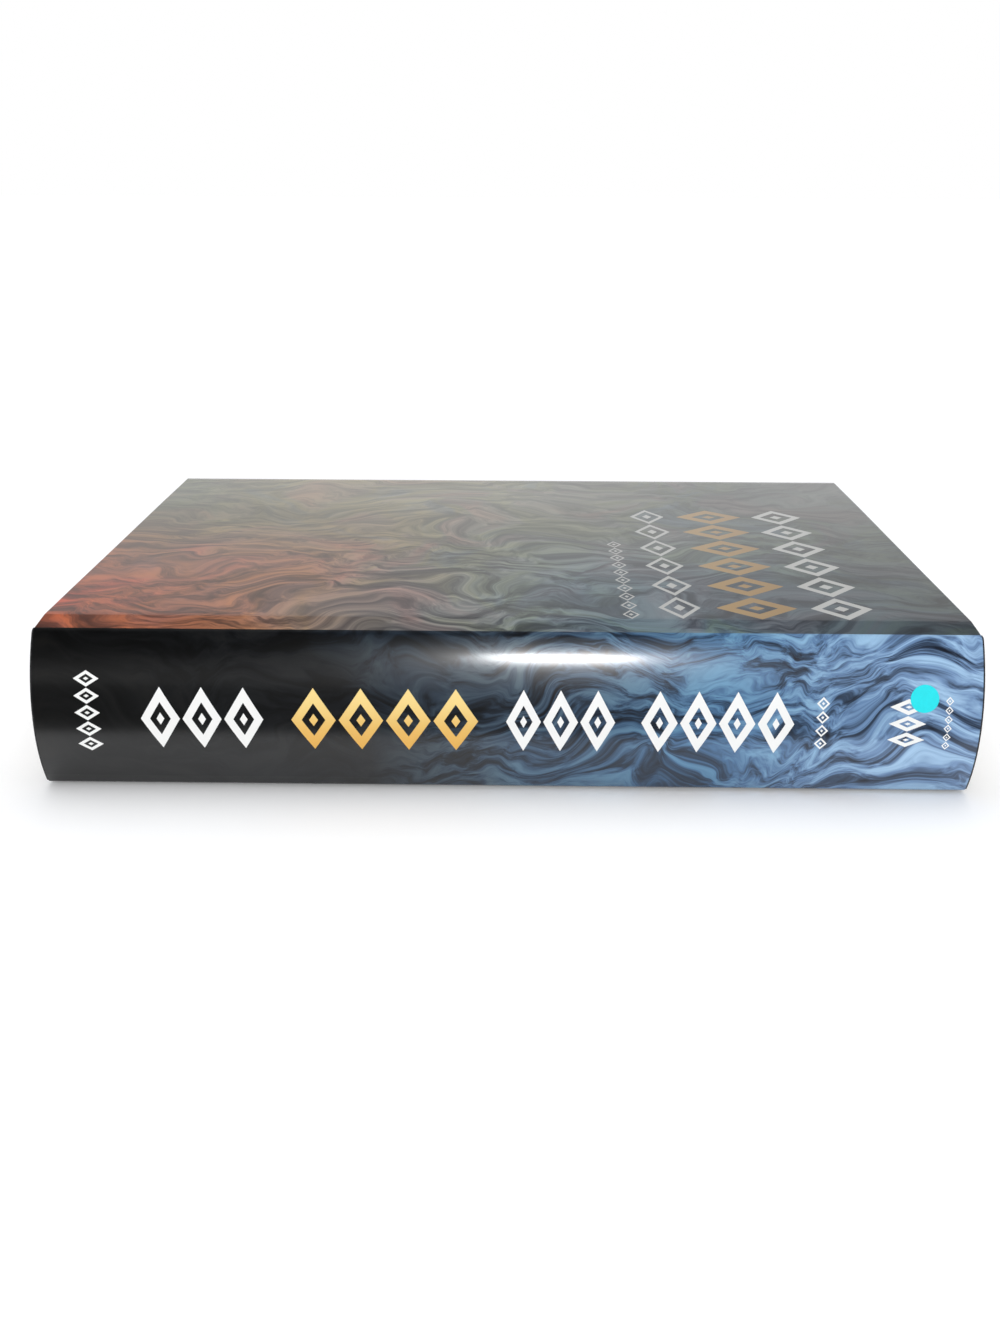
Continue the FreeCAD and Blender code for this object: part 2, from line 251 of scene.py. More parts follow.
def jacket_spine_points():
    """Inner face of the jacket round the spine: board, crest, point, crest, board.

    The second result is the centre of the bend at the upper crest.
    """
    cloth = outline_out(groove_level, spine_cloth_level)
    ways = directions(cloth)
    to_centre = cover_crest_radius / math.cos(abs(turn(ways[3], ways[4])) / 2)
    pull = (ways[4][0] - ways[3][0], ways[4][1] - ways[3][1])
    length = math.hypot(*pull)
    centre = (cloth[4][0] + pull[0] / length * to_centre, cloth[4][1] + pull[1] / length * to_centre)
    edge = (centre[0] + joint_width, middle + half_block + case_level)
    away = (centre[0] - edge[0], centre[1] - edge[1])
    heading = math.atan2(away[1], away[0]) - math.asin(jacket_crest_radius / math.hypot(*away))
    back = outline_out(groove_level, spine_jacket_level)
    top = meet(edge, (math.cos(heading), math.sin(heading)), back[3], ways[3])
    low_top = (top[0], 2 * middle - top[1])
    low_edge = (edge[0], 2 * middle - edge[1])
    return [low_edge, low_top, back[3], top, edge], centre


def flipped(point):
    """The same place on the back half of the book."""
    return (point[0], 2 * middle - point[1])


outline = block_outline()
spine_points, crest_centre = jacket_spine_points()


# Meshes


sharp_angle = math.radians(35)


def make_object(name, vertices, faces, slots=None, body=None):
    """A mesh object in the frame, smooth but for its sharp edges, riding on a body."""
    mesh = bpy.data.meshes.new(name)
    mesh.from_pydata(vertices, [], faces)
    mesh.validate()
    if slots:
        mesh.polygons.foreach_set("material_index", slots)
    mesh.polygons.foreach_set("use_smooth", [True] * len(mesh.polygons))
    mesh.set_sharp_from_angle(angle=sharp_angle)
    mesh.update()
    piece = bpy.data.objects.new(name, mesh)
    bpy.context.scene.collection.objects.link(piece)
    if body:
        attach(piece, body)
    return piece


def spread(low, high, step):
    """Evenly spaced values from low to high, at most step apart."""
    count = max(1, math.ceil((high - low) / step))
    return [low + (high - low) * i / count for i in range(count + 1)]


def sheet_object(name, samples, marks, thickness, columns, lift):
    """A sheet of paper that follows a section along X.

    marks are the distances along the flat sheet. lift(x, mark) moves the sheet off its seat.
    The attribute flat_place holds each point's place on the flat sheet. Slot 0 is the printed
    outside, and slot 1 the inside and the cut edges.
    """
    vertices, flat = [], []
    for x in columns:
        for (y, z, ny, nz), mark in zip(samples, marks):
            rise = lift(x, mark)
            for depth in (0.0, thickness):
                off = rise + depth
                vertices.append((x, y + ny * off, z + nz * off))
                flat.append((x, mark, 0.0))
    rows, sides = len(samples), len(columns)

    def at(i, j, outer):
        return (i * rows + j) * 2 + outer

    faces, slots = [], []
    for i in range(sides - 1):
        for j in range(rows - 1):
            faces.append((at(i + 1, j, 1), at(i + 1, j + 1, 1), at(i, j + 1, 1), at(i, j, 1)))
            faces.append((at(i, j + 1, 0), at(i + 1, j + 1, 0), at(i + 1, j, 0), at(i, j, 0)))
            slots += [0, 1]
        for j, first in ((0, True), (rows - 1, False)):
            rim = (at(i + 1, j, 0), at(i + 1, j, 1), at(i, j, 1), at(i, j, 0))
            faces.append(rim if first else rim[::-1])
            slots.append(1)
    for i, first in ((0, True), (sides - 1, False)):
        for j in range(rows - 1):
            rim = (at(i, j, 0), at(i, j, 1), at(i, j + 1, 1), at(i, j + 1, 0))
            faces.append(rim if first else rim[::-1])
            slots.append(1)
    piece = make_object(name, vertices, faces, slots)
    attribute = piece.data.attributes.new("flat_place", "FLOAT_VECTOR", "POINT")
    attribute.data.foreach_set("vector", [c for place in flat for c in place])
    return piece


# Camera


def make_camera():
    """Camera at the photograph's place, with its axis above the middle of the picture."""
    data = bpy.data.cameras.new("camera")
    data.sensor_fit = "VERTICAL"
    data.sensor_height = 36.0
    data.lens = data.sensor_height * focal_pixels / IMAGE_HEIGHT
    data.shift_y = (axis_row - IMAGE_HEIGHT / 2) / IMAGE_HEIGHT
    data.clip_start = 0.01
    camera = bpy.data.objects.new("camera", data)
    look = Vector((
        math.sin(camera_yaw) * math.cos(camera_pitch),
        math.cos(camera_yaw) * math.cos(camera_pitch),
        -math.sin(camera_pitch),
    ))
    level = Vector((math.cos(camera_yaw), -math.sin(camera_yaw), 0))
    upward = level.cross(look)
    right = level * math.cos(camera_roll) + upward * math.sin(camera_roll)
    top = upward * math.cos(camera_roll) - level * math.sin(camera_roll)
    turned = Matrix((right, top, -look)).transposed()
    camera.matrix_world = Matrix.Translation(camera_place) @ turned.to_4x4()
    bpy.context.scene.collection.objects.link(camera)
    bpy.context.scene.camera = camera


make_camera()


# Node helpers


def new_material(name):
    """An empty material with its output node."""
    material = bpy.data.materials.new(name)
    material.use_nodes = True
    tree = material.node_tree
    tree.nodes.clear()
    tree.nodes.new("ShaderNodeOutputMaterial")
    return material, tree


def add(tree, kind, inputs=None, **settings):
    """A node with its settings, and its inputs set to values or linked to sockets."""
    item = tree.nodes.new(kind)
    for key, value in settings.items():
        setattr(item, key, value)
    for key, value in (inputs or {}).items():
        if isinstance(value, bpy.types.NodeSocket):
            tree.links.new(value, item.inputs[key])
        else:
            item.inputs[key].default_value = value
    return item


def math_node(tree, operation, first, second=0.0, third=0.0):
    """Result of a math node."""
    inputs = {0: first, 1: second, 2: third}
    return add(tree, "ShaderNodeMath", inputs, operation=operation).outputs[0]


def vector_node(tree, operation, first, second=(0, 0, 0)):
    """Result of a vector math node."""
    return add(tree, "ShaderNodeVectorMath", {0: first, 1: second}, operation=operation).outputs[0]


def map_range(tree, value, low, high, to_low=0.0, to_high=1.0, way="SMOOTHSTEP"):
    """A value mapped from one range to another, smoothly or evenly."""
    inputs = {"Value": value, "From Min": low, "From Max": high, "To Min": to_low, "To Max": to_high}
    return add(tree, "ShaderNodeMapRange", inputs, interpolation_type=way).outputs[0]


def ramp(tree, value, stops):
    """Colour from a ramp with stops of (place, colour)."""
    item = add(tree, "ShaderNodeValToRGB", {0: value})
    elements = item.color_ramp.elements
    while len(elements) < len(stops):
        elements.new(0.5)
    for element, (place, colour) in zip(elements, stops):
        element.position = place
        element.color = (*colour, 1.0)
    return item.outputs[0]


def mix(tree, factor, first, second, blend_type="MIX"):
    """Two colours mixed. A colour mix has them at inputs 6 and 7, and its result at output 2."""
    first = (*first, 1.0) if isinstance(first, tuple) else first
    second = (*second, 1.0) if isinstance(second, tuple) else second
    item = add(tree, "ShaderNodeMix", data_type="RGBA", blend_type=blend_type)
    for key, value in ((0, factor), (6, first), (7, second)):
        if isinstance(value, bpy.types.NodeSocket):
            tree.links.new(value, item.inputs[key])
        else:
            item.inputs[key].default_value = value
    return item.outputs[2]


def noise_node(tree, place, scale, detail=2.0, roughness=0.5, distortion=0.0, output="Fac"):
    """Result of a noise texture."""
    inputs = {
        "Vector": place, "Scale": scale, "Detail": detail, "Roughness": roughness,
        "Distortion": distortion,
    }
    return add(tree, "ShaderNodeTexNoise", inputs).outputs[output]


def bump(tree, height, distance, strength=1.0):
    """Normal from a height in units of distance."""
    inputs = {"Height": height, "Distance": distance, "Strength": strength}
    return add(tree, "ShaderNodeBump", inputs).outputs[0]


def finish_material(tree, **inputs):
    """A Principled shader with these inputs, on the material's output. Names use _ for spaces."""
    shader = add(tree, "ShaderNodeBsdfPrincipled")
    for key, value in inputs.items():
        socket = shader.inputs[key.replace("_", " ")]
        if isinstance(value, bpy.types.NodeSocket):
            tree.links.new(value, socket)
        else:
            socket.default_value = value
    output = tree.nodes["Material Output"]
    tree.links.new(shader.outputs[0], output.inputs[0])


def object_place(tree):
    """Place in the object's own axes, which are those of the book at rest."""
    return add(tree, "ShaderNodeTexCoord").outputs["Object"]


# Jacket print

white_ink = (0.9, 0.9, 0.88)
# front_grey_ink: the front's white print, greyer than the spine's white
front_grey_ink = (0.52, 0.52, 0.5)
# gold_painted_highlight is painted light: the spine's gold made paler toward the top, where the light
# falls; gold_deep is the gold below
gold_painted_highlight, gold_deep = (0.93, 0.70, 0.26), (0.80, 0.42, 0.06)
dull_gold_near, dull_gold_far = (0.42, 0.27, 0.11), (0.36, 0.22, 0.08)
flap_colour = (0.012, 0.013, 0.015)

half_print = 118 * MM  # from mid-height to where the colours of head and tail are pure

# Colours of the marbling from the head to the tail, as (share of the height, colour)
front_by_spine = [
    (0.0, (0.30, 0.06, 0.025)), (0.25, (0.25, 0.105, 0.065)), (0.42, (0.165, 0.17, 0.166)),
    (0.6, (0.095, 0.137, 0.17)), (1.0, (0.03, 0.042, 0.052)),
]
front_by_fore_edge = [
    (0.0, (0.12, 0.13, 0.085)), (0.25, (0.215, 0.175, 0.112)), (0.5, (0.2, 0.195, 0.16)),
    (0.75, (0.11, 0.125, 0.12)), (1.0, (0.085, 0.10, 0.095)),
]
spine_field = [
    (0.0, (0.002, 0.002, 0.002)), (0.34, (0.004, 0.005, 0.007)), (0.5, (0.03, 0.055, 0.09)),
    (0.72, (0.054, 0.145, 0.285)), (1.0, (0.165, 0.285, 0.49)),
]
back_field = [(0.0, (0.01, 0.012, 0.016)), (0.5, (0.04, 0.055, 0.08)), (1.0, (0.09, 0.12, 0.18))]

# Shades of the strands, from dark to light, as (strength, factor)
bold_strands = [
    (0.0, (0.02, 0.02, 0.03)), (0.3, (0.28, 0.29, 0.31)), (0.6, (1.0, 1.0, 1.0)),
    (1.0, (2.45, 2.15, 1.7)),
]
soft_strands = [
    (0.0, (0.3, 0.3, 0.33)), (0.3, (0.6, 0.6, 0.62)), (0.62, (1.1, 1.1, 1.08)), (1.0, (1.9, 1.85, 1.7)),
]
tints = [
    (0.36, (1.18, 0.94, 0.94)), (0.46, (1.0, 1.0, 1.0)), (0.54, (1.04, 1.06, 0.84)),
    (0.66, (0.86, 0.98, 1.12)),
]

# Marbling, with scales per metre: slow swirls, then combing, then strands in two sizes
swirl_scale, swirl_reach = 17, 70 * MM
comb_scale, comb_reach = 60, 20 * MM
strand_turn, strand_stretch = math.radians(-58), 4.2
coarse_scale, coarse_share = 42, 0.8
fine_scale, fine_share = 150, 0.28
strand_range = (0.36, 0.7)  # values of the noises that are a strand's dark and light
tint_scale = 24
front_reach = (30 * MM, 150 * MM)  # from mid-spine: between the two sets of colours of the front
even_strength, even_share = 0.52, 0.5  # level and share of the strands' fading at the fore edge
flap_blend = 0.4 * MM

# Places between which the golds change: round the book on the spine, from deep gold below to a painted
# highlight above where the light falls; along it on the front
gold_highlight_reach = (-9 * MM, 7 * MM)
dull_gold_reach = (50 * MM, 80 * MM)


def flat_axes(tree):
    """Place on the flat jacket: along the book's height, and round the book from mid-spine."""
    place = add(tree, "ShaderNodeAttribute", attribute_name="flat_place").outputs["Vector"]
    split = add(tree, "ShaderNodeSeparateXYZ", {0: place})
    return place, split.outputs[0], split.outputs[1]


def warped(tree, place, scale, reach):
    """A place moved about by a noise, by at most half of reach each way."""
    shift = noise_node(tree, place, scale, 2.0, output="Color")
    shift = vector_node(tree, "SUBTRACT", shift, (0.5, 0.5, 0.5))
    return vector_node(tree, "ADD", place, vector_node(tree, "MULTIPLY", shift, (reach, reach, 0)))


def marbling(tree, place):
    """Strength of the marbled strands, and the place after the slow swirls."""
    swirled = warped(tree, place, swirl_scale, swirl_reach)
    combed = warped(tree, swirled, comb_scale, comb_reach)
    mapping = {
        "Vector": combed, "Rotation": (0, 0, strand_turn), "Scale": (1.0, strand_stretch, 1.0),
    }
    strands = add(tree, "ShaderNodeMapping", mapping).outputs[0]
    coarse = noise_node(tree, strands, coarse_scale, 5.0, 0.62, 0.5)
    fine = noise_node(tree, strands, fine_scale, 3.0, 0.6, 0.8)
    coarse = math_node(tree, "MULTIPLY", coarse, coarse_share)
    value = math_node(tree, "MULTIPLY_ADD", fine, fine_share, coarse)
    return map_range(tree, value, *strand_range), swirled


def jacket_art(tree):
    """Marbled paper: warm at the head of the front, blue at the tail, dark at the spine's head."""
    place, along, around = flat_axes(tree)
    strength, swirled = marbling(tree, place)
    drift = add(tree, "ShaderNodeSeparateXYZ", {0: swirled}).outputs
    share = map_range(tree, drift[0], -half_print, half_print, way="LINEAR")
    depth = map_range(tree, drift[1], *front_reach)
    cover = mix(tree, depth, ramp(tree, share, front_by_spine), ramp(tree, share, front_by_fore_edge))
    on_front = math_node(tree, "GREATER_THAN", around, front_fold_mark)
    on_back = math_node(tree, "LESS_THAN", around, -front_fold_mark)
    field = mix(tree, on_front, ramp(tree, share, spine_field), cover)
    field = mix(tree, on_back, field, ramp(tree, share, back_field))
    even = math_node(tree, "MULTIPLY", math_node(tree, "SUBTRACT", even_strength, strength), depth)
    softened = math_node(tree, "MULTIPLY_ADD", even, even_share, strength)
    tint = ramp(tree, noise_node(tree, swirled, tint_scale, 3.0, 0.6, 1.0), tints)
    soft = mix(tree, 1.0, ramp(tree, softened, soft_strands), tint, "MULTIPLY")
    shade = mix(tree, on_front, ramp(tree, strength, bold_strands), soft)
    art = mix(tree, 1.0, field, shade, "MULTIPLY")
    from_spine = math_node(tree, "ABSOLUTE", around)
    flap = map_range(tree, from_spine, flap_mark, flap_mark + flap_blend)
    return mix(tree, flap, art, flap_colour), along, around


lozenge_share = 0.94  # width of a lozenge in parts of the pitch
core_share = 0.38  # size of the solid lozenge in parts of the hollow


def lozenge_group():
    """Node group: mask of a row of hollow lozenges with a small solid one inside each.

    Along and Across are places on the sheet. The row starts at Start and runs for Length.
    """
    group = bpy.data.node_groups.new("lozenge_row", "ShaderNodeTree")
    for name in ("Along", "Across", "Start", "Length", "Pitch", "Centre", "Half Height", "Line"):
        group.interface.new_socket(name, in_out="INPUT", socket_type="NodeSocketFloat")
    group.interface.new_socket("Mask", in_out="OUTPUT", socket_type="NodeSocketFloat")
    source = group.nodes.new("NodeGroupInput").outputs
    sink = group.nodes.new("NodeGroupOutput").inputs
    along = math_node(group, "SUBTRACT", source["Along"], source["Start"])
    cell = math_node(group, "FLOORED_MODULO", along, source["Pitch"])
    cell = math_node(group, "SUBTRACT", cell, math_node(group, "MULTIPLY", source["Pitch"], 0.5))
    cell = math_node(group, "ABSOLUTE", cell)
    across = math_node(group, "SUBTRACT", source["Across"], source["Centre"])
    across = math_node(group, "ABSOLUTE", across)
    half_width = math_node(group, "MULTIPLY", source["Pitch"], lozenge_share / 2)
    sideways = math_node(group, "DIVIDE", cell, half_width)
    upward = math_node(group, "DIVIDE", across, source["Half Height"])
    level = math_node(group, "ADD", sideways, upward)
    line = math_node(group, "DIVIDE", source["Line"], half_width)
    inner = math_node(group, "SUBTRACT", 1.0, line)
    outside = math_node(group, "LESS_THAN", level, 1.0)
    hollow = math_node(group, "GREATER_THAN", level, inner)
    ring = math_node(group, "MULTIPLY", outside, hollow)
    core = math_node(group, "LESS_THAN", level, math_node(group, "MULTIPLY", inner, core_share))
    shape = math_node(group, "MAXIMUM", ring, core)
    started = math_node(group, "GREATER_THAN", along, 0.0)
    ended = math_node(group, "LESS_THAN", along, source["Length"])
    inside = math_node(group, "MULTIPLY", started, ended)
    group.links.new(math_node(group, "MULTIPLY", shape, inside), sink["Mask"])
    return group


def ornament(tree, group, along, across, start, count, pitch, centre, half_height, line):
    """Mask of one row of lozenges. Sizes are in millimetres."""
    item = tree.nodes.new("ShaderNodeGroup")
    item.node_tree = group
    tree.links.new(along, item.inputs["Along"])
    tree.links.new(across, item.inputs["Across"])
    sizes = {
        "Start": start, "Length": count * pitch, "Pitch": pitch, "Centre": centre,
        "Half Height": half_height, "Line": line,
    }
    for key, value in sizes.items():
        item.inputs[key].default_value = value * MM
    return item.outputs[0]


# Rows of ornament: start, count, pitch, centre, half height and line, in millimetres
spine_white_rows = [
    (-91, 3, 10.4, -0.4, 8.3, 2.3),
    (0, 3, 9.2, -0.4, 8.3, 2.1),
    (33.5, 4, 9.6, -0.4, 8.3, 2.2),
]
spine_gold_rows = [(-53.5, 4, 11.8, -0.4, 8.3, 2.6)]
spine_small_rows = [
    (-10, 5, 4.4, -104, 3.2, 0.9),
    (-7.5, 4, 3.6, 78.5, 1.6, 0.6),
    (-6.6, 3, 4.4, 99.5, 4.6, 1.1),
    (-7.2, 6, 2.4, 109.5, 1.0, 0.4),
]
front_white_rows = [(30, 6, 18.0, 45, 5.5, 2.2), (30, 6, 18.0, 87, 8.0, 3.0)]
front_gold_rows = [(30, 6, 18.0, 65, 10.5, 4.0)]
front_small_rows = [(30, 10, 7.0, 32, 2.2, 0.9)]


def jacket_print(tree):
    """Colour of the printed face: the marbling with rows of white and gold ornament."""
    colour, along, around = jacket_art(tree)
    group = lozenge_group()
    on_spine = math_node(tree, "LESS_THAN", math_node(tree, "ABSOLUTE", around), front_fold_mark)
    on_front = math_node(tree, "GREATER_THAN", around, front_fold_mark)
    # Spine gold: deep below, with a painted highlight toward the top of the spine's curve
    gold = mix(tree, map_range(tree, around, *gold_highlight_reach), gold_deep, gold_painted_highlight)
    dull_gold = map_range(tree, along, *dull_gold_reach)
    dull_gold = mix(tree, dull_gold, dull_gold_near, dull_gold_far)
    plans = [
        (spine_white_rows, along, around, on_spine, white_ink),
        (spine_gold_rows, along, around, on_spine, gold),
        (spine_small_rows, around, along, on_spine, white_ink),
        (front_white_rows, around, along, on_front, front_grey_ink),
        (front_gold_rows, around, along, on_front, dull_gold),
        (front_small_rows, around, along, on_front, front_grey_ink),
    ]
    for rows, first, second, region, ink in plans:
        for row in rows:
            mask = ornament(tree, group, first, second, *row)
            colour = mix(tree, math_node(tree, "MULTIPLY", mask, region), colour, ink)
    return colour


def jacket_material():
    """Printed paper under a gloss film."""
    material, tree = new_material("jacket_print")
    colour = jacket_print(tree)
    ripple = noise_node(tree, object_place(tree), 700, 2.0)
    finish_material(
        tree, Base_Color=colour, Roughness=0.34, Specular_IOR_Level=0.45, Coat_Weight=1.0,
        Coat_Roughness=0.16, Coat_IOR=1.5, Coat_Normal=bump(tree, ripple, 0.02 * MM, 0.25),
    )
    return material


def paper_material(name, colour, scale, tint, roughness=0.85):
    """Uncoated paper: fine fibres and a faint cloudiness."""
    material, tree = new_material(name)
    place = object_place(tree)
    cloud = noise_node(tree, place, 60, 3.0)
    fibre = noise_node(tree, place, scale, 4.0, 0.7)
    mottled = mix(tree, math_node(tree, "MULTIPLY", cloud, 0.5), colour, tint)
    shade = ramp(tree, fibre, [(0.3, (0.93, 0.93, 0.93)), (0.7, (1.0, 1.0, 1.0))])
    finish_material(
        tree, Base_Color=mix(tree, 1.0, mottled, shade, "MULTIPLY"), Roughness=roughness,
        Normal=bump(tree, fibre, 0.04 * MM, 0.5),
    )
    return material


# Text block


leaf_layers = 150
leaves_per_section = 10  # layers between two gathered sections
leaf_rows = 26
leaf_columns_step = 0.12
leaf_inset = 0.12 * MM  # of the layers' edges inside the trimmed size, on average
leaf_wander = 0.04 * MM
leaf_memory = 0.7  # share of a layer's wander that the next one keeps
section_notch = 0.04 * MM


def eased(value):
    """Smooth step from 0 to 1."""
    value = min(1.0, max(0.0, value))
    return value * value * (3 - 2 * value)


def leaf_place(level, share):
    """Place (y, z) on a leaf.

    level runs from -1 to 1 through the block, and share from the back to the fore edge.
    """
    back = back_radius(outline[1:-1], shoulder_crest_radius)
    end_z = level * (half_block + shoulder_rise * abs(level) ** 3)
    hollow = back - math.sqrt(back**2 - half_block**2)
    apex_y = crest_y - spine_round
    back_y = apex_y + back - math.sqrt(max(0.0, back**2 - end_z**2))
    sag = math.sqrt(back**2 - (level * half_block) ** 2) - (back - hollow)
    front_y = fore_y - sag
    y = back_y + (front_y - back_y) * share
    rise = shoulder_rise * abs(level) ** 3 * eased((crest_y + shoulder_run - y) / shoulder_run)
    return y, middle + level * half_block + math.copysign(rise, level)


def text_block_piece():
    """The leaves in layers: each stands a hair in or out at head, tail and fore edge."""
    rng = random.Random(7)
    levels, heads, tails, fores = [], [], [], []
    drift = [0.0, 0.0, 0.0]
    for layer in range(leaf_layers):
        inset = leaf_inset + section_notch * (layer % leaves_per_section == 0)
        drift = [leaf_memory * d + rng.uniform(-leaf_wander, leaf_wander) for d in drift]
        for edge in (layer, layer + 1):
            levels.append(-1 + 2 * edge / leaf_layers)
            heads.append(half_trim + drift[0] - inset)
            tails.append(half_trim + drift[1] - inset)
            fores.append(drift[2] - inset)
    shares = [(i / (leaf_rows - 1)) ** 2 for i in range(leaf_rows)]
    columns = spread(-1.0, 1.0, leaf_columns_step)
    vertices, index = [], {}

    def corner(i, j, k):
        """Vertex at level row i, share j and column k, on the surface of the block."""
        if (i, j, k) not in index:
            y, z = leaf_place(levels[i], shares[j])
            if j == leaf_rows - 1:
                y += fores[i]
            x = -heads[i] + (tails[i] + heads[i]) * (columns[k] + 1) / 2
            index[i, j, k] = len(vertices)
            vertices.append((x, y, z))
        return index[i, j, k]

    faces = []
    last_k, last_j, last_i = len(columns) - 1, leaf_rows - 1, len(levels) - 1
    for i in range(last_i):
        for j in range(last_j):
            head = (
                corner(i, j, 0), corner(i + 1, j, 0),
                corner(i + 1, j + 1, 0), corner(i, j + 1, 0),
            )
            tail = (
                corner(i, j, last_k), corner(i, j + 1, last_k),
                corner(i + 1, j + 1, last_k), corner(i + 1, j, last_k),
            )
            faces += [head, tail]
        for k in range(last_k):
            fore = (
                corner(i, last_j, k), corner(i + 1, last_j, k),
                corner(i + 1, last_j, k + 1), corner(i, last_j, k + 1),
            )
            back = (
                corner(i, 0, k), corner(i, 0, k + 1),
                corner(i + 1, 0, k + 1), corner(i + 1, 0, k),
            )
            faces += [fore, back]
    for j in range(last_j):
        for k in range(last_k):
            top = (
                corner(last_i, j, k), corner(last_i, j, k + 1),
                corner(last_i, j + 1, k + 1), corner(last_i, j + 1, k),
            )
            bottom = (
                corner(0, j, k), corner(0, j + 1, k),
                corner(0, j + 1, k + 1), corner(0, j, k + 1),
            )
            faces += [top, bottom]
    piece = make_object("leaves", vertices, faces, body="book_block")
    for polygon in piece.data.polygons:
        polygon.use_smooth = False
    piece.data.materials.append(leaf_material())
    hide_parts("text_block")


def leaf_material():
    """Cut edges of cream paper, a little uneven in tone from leaf to leaf."""
    material, tree = new_material("leaves")
    place = object_place(tree)
    lines = add(tree, "ShaderNodeMapping", {"Vector": place, "Scale": (3.0, 3.0, 9000.0)}).outputs[0]
    leaf = noise_node(tree, lines, 1.0, 1.0)
    cloud = noise_node(tree, place, 25, 3.0)
    tone = ramp(tree, leaf, [
        (0.3, (0.62, 0.56, 0.46)), (0.55, (0.78, 0.73, 0.64)), (0.8, (0.86, 0.82, 0.75)),
    ])
    warm = mix(tree, math_node(tree, "MULTIPLY", cloud, 0.35), tone, (0.74, 0.66, 0.53))
    finish_material(tree, Base_Color=warm, Roughness=0.9, Normal=bump(tree, leaf, 0.06 * MM, 0.6))
    return material


# Jacket


wave_height = 0.22 * MM
wave_from_fold = 12 * MM  # flat strip beside the joint
wave_from_edge = 10 * MM  # flat strip beside the fore edge
wave_rise = 30 * MM
waves = [(0.28, 31, 17, 0.0), (0.22, 53, -41, 1.3)]  # share, radians per metre along and round, phase
mark_step = 0.5 * MM
flap_level = 0.5 * MM + jacket_thickness  # outside of a flap, out from the text block
seam_above_fold = 4 * MM  # where the two sheets meet, up from the lower fold
jacket_step = 2.5 * MM
jacket_column_step = 4 * MM


def jacket_lift(x, mark):
    """Slight waviness of the jacket over the front board, where it is free."""
    start, end = front_fold_mark + wave_from_fold, flap_mark - wave_from_edge
    if mark < start or mark > end:
        return 0.0
    wave = 0.5 + sum(share * math.sin(x * a + mark * b + phase) for share, a, b, phase in waves)
    return wave_height * wave * min(1.0, min(mark - start, end - mark) / wave_rise)


def jacket_pieces():
    """Two sheets: the front with the spine, and the back, which meets it above the lower fold."""
    case_top = middle + half_block + case_level
    flap_z = middle + half_block + flap_level
    case_fore = fore_y + board_edge
    front_end = [(case_fore, case_top), (case_fore, flap_z), (case_fore - flap_width, flap_z)]
    path = [flipped(p) for p in front_end[::-1]] + spine_points + front_end
    crest, fold, ease = jacket_crest_radius, jacket_fold_radius, jacket_ease_radius
    big = back_radius(spine_points, crest)
    samples = sampled(path, [fold, fold, ease, crest, big, crest, ease, fold, fold], jacket_step)
    walked = lengths(samples, jacket_thickness)
    marks = [w - walked[-1] / 2 for w in walked]
    seam = min(range(len(marks)), key=lambda i: abs(marks[i] + front_fold_mark - seam_above_fold))
    columns = spread(-half_jacket, half_jacket, jacket_column_step)
    plans = (
        ("dust_jacket_front", seam, len(samples) - 1, "front_cover", ("jacket_front", "jacket_spine")),
        ("dust_jacket_back", 0, seam, "back_cover", ("jacket_back",)),
    )
    for name, first, last, body, nodes in plans:
        part = slice(first, last + 1)
        piece = sheet_object(name, samples[part], marks[part], jacket_thickness, columns, jacket_lift)
        piece.data.materials.append(jacket_material())
        inside = paper_material("jacket_inside", (0.86, 0.86, 0.84), 900, (0.8, 0.8, 0.78))
        piece.data.materials.append(inside)
        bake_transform(piece)
        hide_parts(*nodes)


def mark_at_fold():
    """Distance from mid-spine to the fold, along the outside of the jacket."""
    radius = back_radius(spine_points, jacket_crest_radius)
    samples = sampled(spine_points[1:], [radius, jacket_crest_radius], mark_step)
    walked = lengths(samples, jacket_thickness)
    at_middle = min(range(len(samples)), key=lambda i: abs(samples[i][1] - middle))
    upper = [i for i in range(len(samples)) if samples[i][1] > middle]
    at_fold = min(upper, key=lambda i: abs(samples[i][0] - fold_y))
    return walked[at_fold] - walked[at_middle]


fore_edge_height = 3.6 * MM  # of the jacket over a board's fore edge
front_fold_mark = mark_at_fold()
flap_mark = front_fold_mark + (fore_y + board_edge - fold_y) + fore_edge_height

jacket_pieces()
text_block_piece()


# Headbands

band_bead_radius = 0.9 * MM
band_setback = 1.4 * MM
thread_pitch = 0.85 * MM
thread_low, thread_high = 1.02, 1.12  # radius between threads and on them, in parts of the bead's
per_thread = 4  # rings along each thread
ring_points = 12


def headband_piece(name, end):
    """Threads in two colours, by turns, wound round the bead of a headband."""
    back = back_radius(outline[1:-1], shoulder_crest_radius)
    centre_y = leaf_place(0, 0)[0] + back
    half_angle = math.asin((crest - band_setback) / back)
    ring_radius = back + mull_thickness - band_bead_radius
    threads = 2 * int(half_angle * back / thread_pitch) + 1
    steps = threads * per_thread
    vertices, faces, slots = [], [], []
    for i in range(steps + 1):
        angle = half_angle * (2 * i / steps - 1)
        swell = thread_low + (thread_high - thread_low) * abs(math.sin(math.pi * i / per_thread))
        for j in range(ring_points):
            turned = 2 * math.pi * j / ring_points
            out = ring_radius + band_bead_radius * swell * math.cos(turned)
            x = end * (half_trim + band_bead_radius * (1 + swell * math.sin(turned)))
            vertices.append((x, centre_y - out * math.cos(angle), middle + out * math.sin(angle)))
    for i in range(steps):
        ring, following = i * ring_points, (i + 1) * ring_points
        for j in range(ring_points):
            k = (j + 1) % ring_points
            face = (ring + j, ring + k, following + k, following + j)
            faces.append(face if end > 0 else face[::-1])
            slots.append((i // per_thread) % 2)
    for i in (0, steps):
        cap = tuple(i * ring_points + j for j in range(ring_points))
        faces.append(cap[::-1] if (i == 0) == (end > 0) else cap)
        slots.append(0)
    piece = make_object(name + "_threads", vertices, faces, slots, body="book_block")
    piece.data.materials.append(thread_material("thread_white", (0.82, 0.81, 0.77)))
    piece.data.materials.append(thread_material("thread_blue", (0.06, 0.1, 0.2)))


